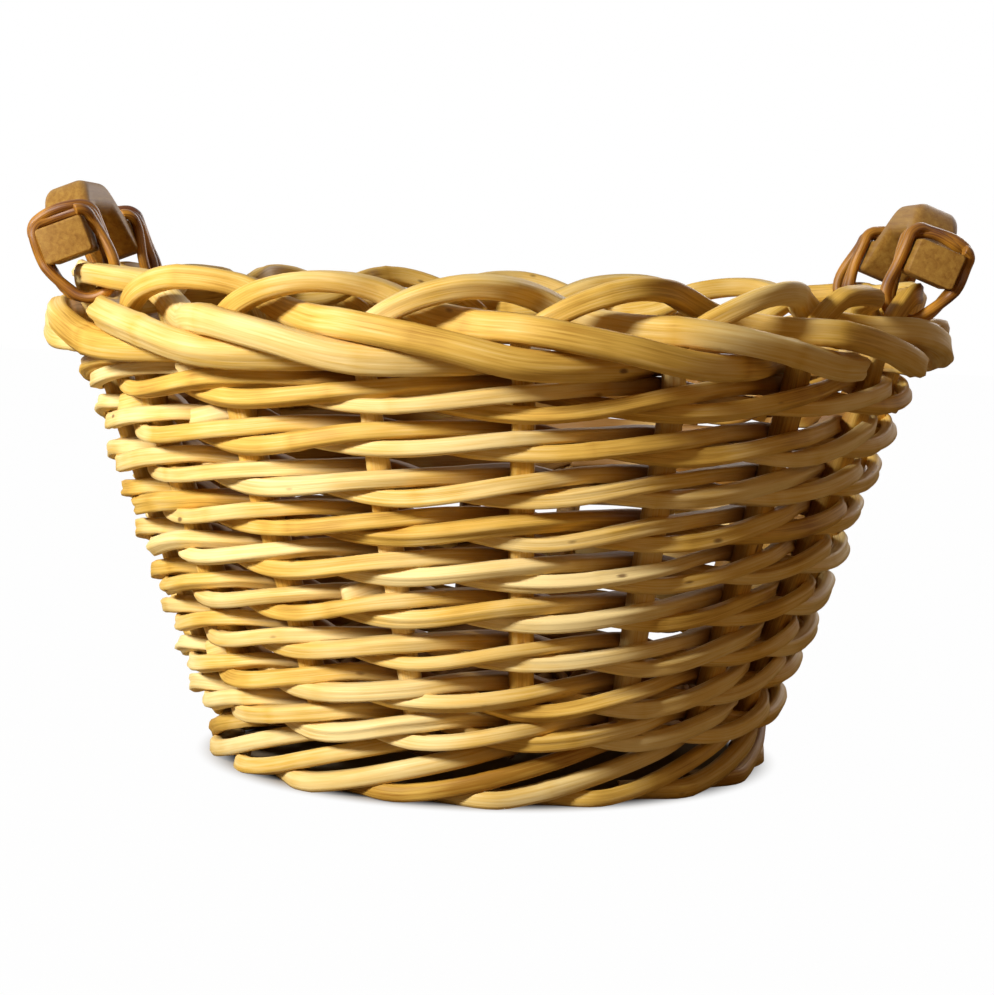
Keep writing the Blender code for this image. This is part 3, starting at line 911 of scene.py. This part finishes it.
class BASKET_OT_grips(bpy.types.Operator):
    """Make the two arched wooden bars"""

    bl_idname = "basket.grips"
    bl_label = "Grips"

    def execute(self, context):
        grips = context.scene.basket_grips
        finish = grip_wood("stained_hardwood_grips")
        up, out = lean_axes()
        lie = Matrix((Vector((0, 1, 0)), up, out)).transposed().to_4x4()
        lie.translation = bar_middle()
        steps = 60
        for side_name, side in (("left", -1), ("right", 1)):
            work = bmesh.new()
            ring = bmesh.ops.create_circle(work, segments=GRIP_SIDES, radius=1)["verts"]
            edges = list(work.edges)
            ends = [edges]
            for step in range(steps + 1):
                if step:
                    grown = bmesh.ops.extrude_edge_only(work, edges=edges)["geom"]
                    ring = [part for part in grown if isinstance(part, bmesh.types.BMVert)]
                    fresh = set(ring)
                    edges = [
                        part
                        for part in grown
                        if isinstance(part, bmesh.types.BMEdge) and set(part.verts) <= fresh
                    ]
                # Closer rings at both ends, for the eased edge of the end faces
                share = 0.5 - 0.5 * math.cos(math.pi * step / steps)
                along = grips.length * (0.4 * (share - 0.5) + 0.6 * (step / steps - 0.5))
                self.lay_ring(ring, along, grips)
            ends.append(edges)
            for end in ends:
                bmesh.ops.edgeloop_fill(work, edges=end)
            bmesh.ops.recalc_face_normals(work, faces=work.faces)
            rims = [edge for end in ends for edge in end if edge.is_valid]
            bmesh.ops.bevel(
                work, geom=rims, offset=grips.end_edge, segments=3, profile=0.5, affect="EDGES", material=-1
            )
            bmesh.ops.transform(work, matrix=hinge_matrix(side_name, side) @ lie, verts=work.verts)
            bmesh.ops.recalc_face_normals(work, faces=work.faces)
            for face in work.faces:
                face.smooth = True
            made = finish_piece(
                f"wooden_grip_{side_name}",
                work,
                f"handle_{side_name}",
                finish,
                [f"grip_{side_name}"],
            )
            made.data.set_sharp_from_angle(angle=math.radians(40))
        return {"FINISHED"}

    def lay_ring(self, ring, along, grips):
        """Lay a ring of the bar as a rounded rectangle, rounder where the hand holds it."""
        held = grip_rise(along) / grips.rise
        corner = grips.edge + (grips.held_edge - grips.edge) * held
        for number, vert in enumerate(ring):
            turn = 2 * math.pi * (number + 0.5) / len(ring)
            tall, wide = math.cos(turn), math.sin(turn)
            up = math.copysign(grips.thickness / 2 - corner, tall) + corner * tall
            out = math.copysign(grips.width / 2 - corner, wide) + corner * wide
            vert.co = (along, grip_rise(along) + up, out)


class BASKET_OT_loops(bpy.types.Operator):
    """Wind the cane loops that hold the grips on the border"""

    bl_idname = "basket.loops"
    bl_label = "Cane Loops"

    def execute(self, context):
        rods, grips = context.scene.basket_rods, context.scene.basket_grips
        finish = cane("stained_cane_loops")
        up, out = lean_axes()
        middle = bar_middle()
        pitch = rods.cane + grips.loop_gap
        for side_name, side in (("left", -1), ("right", 1)):
            for end_name, end in (("front", -side), ("back", side)):
                chance = random.Random(f"loop {side_name} {end_name}")
                ease = [chance.uniform(0.0, 0.0004) for _ in range(LOOP_TURNS + 1)]
                knots = []
                for step in range(LOOP_TURNS * LOOP_POINTS + 1):
                    turned = 2 * math.pi * step / LOOP_POINTS
                    face = up * math.cos(turned) + out * math.sin(turned)
                    # The turns spread over the bar, and the middle ones ride on the others
                    place = step / LOOP_POINTS
                    over = 0.5 + 0.5 * math.cos(turned)
                    aside = (place - LOOP_TURNS / 2) * (pitch + grips.fan * over)
                    aside += np.interp(place, *LOOP_SHIFTS) * pitch
                    lift = np.interp(place, *LOOP_LIFTS) * rods.cane
                    along = Vector((0, end * grips.loop_y + aside, 0))
                    tall = math.copysign(grips.thickness / 2 - grips.edge, math.cos(turned))
                    wide = math.copysign(grips.width / 2 - grips.edge, math.sin(turned))
                    round_bar = middle + up * tall + out * wide
                    slack = grips.edge + rods.cane / 2 + ease[step // LOOP_POINTS] + lift
                    small = grips.border / 2 + rods.cane / 2 + grips.loop_slack
                    if (round_bar + face * slack).dot(face) > small:
                        knots.append(round_bar + face * slack + along)
                    else:
                        follow = Vector((-aside * end * math.tan(grips.loop_turn), 0, 0))
                        knots.append(follow + face * small + along)
                place = hinge_matrix(side_name, side)
                points = [place @ knot for knot in knots]
                radii = [rods.cane / 2] * len(points)
                name = f"grip_loop_{side_name}_{end_name}"
                spots = [(*point, radius) for point, radius in zip(points, radii)]
                points, rest = smooth(spots, rods.cane / 2, lambda x, y, z: Vector((x, y, z)))
                radii = [float(r[0]) for r in rest]
                rod_piece(
                    f"cane_{name}",
                    [(points, radii, 0.0)],
                    10,
                    f"handle_{side_name}",
                    finish,
                    [name],
                    oval=False,
                )
        return {"FINISHED"}


class BASKET_OT_stage(bpy.types.Operator):
    """Set up the pale floor, the lamps and the camera"""

    bl_idname = "basket.stage"
    bl_label = "Stage"

    def execute(self, context):
        studio = context.scene.basket_studio
        scene = context.scene
        scene.view_settings.view_transform = "Standard"
        self.floor(studio)
        self.world(scene, studio)
        self.lamp("key", (-0.97, -0.88, 0.68), 0.28, studio.key)
        self.lamp("fill", (1.3, -1.7, 0.6), 1.4, studio.fill, (1.0, 0.52, 0.18))
        self.lamp("back", (0.9, 1.8, 1.0), 1.0, studio.back)
        camera = bpy.data.cameras.new("camera")
        camera.lens = studio.lens
        camera.sensor_width = 36.0
        holder = bpy.data.objects.new("camera", camera)
        scene.collection.objects.link(holder)
        turn = Matrix.Rotation(math.pi / 2 - studio.pitch, 4, "X")
        place = Matrix.Translation((studio.aim, -studio.distance, studio.height))
        holder.matrix_world = place @ turn @ Matrix.Rotation(studio.roll, 4, "Z")
        scene.camera = holder
        return {"FINISHED"}

    def floor(self, studio):
        work = bmesh.new()
        bmesh.ops.create_grid(work, x_segments=1, y_segments=1, size=4.0)
        mesh = bpy.data.meshes.new("floor")
        work.to_mesh(mesh)
        work.free()
        floor = bpy.data.objects.new("floor", mesh)
        bpy.context.scene.collection.objects.link(floor)
        made, tree = blank_material("white_paper_floor")
        paper = add(tree, "ShaderNodeBsdfDiffuse", Color=(*studio.floor, 1.0))
        white = add(tree, "ShaderNodeEmission", Color=(1, 1, 1, 1), Strength=1.0)
        # Bare paper under and close round the basket, where its shadow lies
        place = add(tree, "ShaderNodeTexCoord").outputs["Object"]
        apart = add(tree, "ShaderNodeVectorMath", {"operation": "LENGTH"}, _0=place).outputs["Value"]
        clear = add(
            tree, "ShaderNodeMapRange", {"interpolation_type": "SMOOTHSTEP"}, Value=apart,
            From_Min=studio.shadow_in, From_Max=studio.shadow_out, To_Max=0.99,
        ).outputs[0]
        rays = add(tree, "ShaderNodeLightPath").outputs
        seen = add(tree, "ShaderNodeMath", {"operation": "MULTIPLY"}, _0=rays["Is Camera Ray"], _1=clear)
        mixed = add(tree, "ShaderNodeMixShader", _0=seen.outputs[0], _1=paper.outputs[0], _2=white.outputs[0])
        add(tree, "ShaderNodeOutputMaterial", Surface=mixed.outputs[0])
        mesh.materials.append(made)

    def world(self, scene, studio):
        scene.world = bpy.data.worlds.new("studio")
        scene.world.use_nodes = True
        tree = scene.world.node_tree
        tree.nodes.clear()
        rays = add(tree, "ShaderNodeLightPath").outputs
        either = add(
            tree, "ShaderNodeMath", {"operation": "MAXIMUM"}, _0=rays["Is Camera Ray"], _1=rays["Is Glossy Ray"]
        )
        any_of = add(
            tree, "ShaderNodeMath", {"operation": "MAXIMUM"}, _0=either.outputs[0], _1=rays["Is Transmission Ray"]
        )
        room = add(tree, "ShaderNodeBackground", Color=(1.0, 0.62, 0.26, 1.0), Strength=studio.sky)
        white = add(tree, "ShaderNodeBackground", Color=(1, 1, 1, 1), Strength=1.0)
        mixed = add(
            tree, "ShaderNodeMixShader", _0=any_of.outputs[0], _1=room.outputs[0], _2=white.outputs[0]
        )
        add(tree, "ShaderNodeOutputWorld", Surface=mixed.outputs[0])

    def lamp(self, name, place, size, power, colour=(1.0, 1.0, 1.0)):
        lamp = bpy.data.lights.new(name, "AREA")
        lamp.color = colour
        lamp.shape = "DISK"
        lamp.size = size
        lamp.energy = power
        holder = bpy.data.objects.new(name, lamp)
        bpy.context.scene.collection.objects.link(holder)
        aim = Vector((0, 0, 0.11)) - Vector(place)
        holder.matrix_world = Matrix.Translation(place) @ aim.to_track_quat("-Z", "Y").to_matrix().to_4x4()


OPERATORS = (
    BASKET_OT_base,
    BASKET_OT_stakes,
    BASKET_OT_wale,
    BASKET_OT_foot,
    BASKET_OT_grips,
    BASKET_OT_loops,
    BASKET_OT_stage,
)
GROUPS = (
    ("basket_rods", RodSizes),
    ("basket_wall", WallSizes),
    ("basket_grips", GripSizes),
    ("basket_finishes", Finishes),
    ("basket_studio", StudioSizes),
)


class BASKET_PT_panel(bpy.types.Panel):
    """The basket's sizes and the steps that make it"""

    bl_label = "Willow Basket"
    bl_idname = "BASKET_PT_panel"
    bl_space_type = "VIEW_3D"
    bl_region_type = "UI"
    bl_category = "Basket"

    def draw(self, context):
        for name, group in GROUPS:
            box = self.layout.box()
            box.label(text=group.__doc__)
            for field in group.__annotations__:
                box.prop(getattr(context.scene, name), field)
        for operator in OPERATORS:
            self.layout.operator(operator.bl_idname)


def register():
    for name, group in GROUPS:
        bpy.utils.register_class(group)
        setattr(bpy.types.Scene, name, PointerProperty(type=group))
    for made in (*OPERATORS, BASKET_PT_panel):
        bpy.utils.register_class(made)


def unregister():
    for made in reversed((*OPERATORS, BASKET_PT_panel)):
        bpy.utils.unregister_class(made)
    for name, group in reversed(GROUPS):
        delattr(bpy.types.Scene, name)
        bpy.utils.unregister_class(group)


def main():
    # Blender seeds its noise vectors from the clock, so a fixed seed keeps each run the same
    noise.seed_set(STRAY_SEED)
    register()
    bpy.ops.basket.base()
    bpy.ops.basket.stakes()
    bpy.ops.basket.wale()
    bpy.ops.basket.foot()
    bpy.ops.basket.grips()
    bpy.ops.basket.loops()
    bpy.ops.basket.stage()


if __name__ == "__main__":
    main()
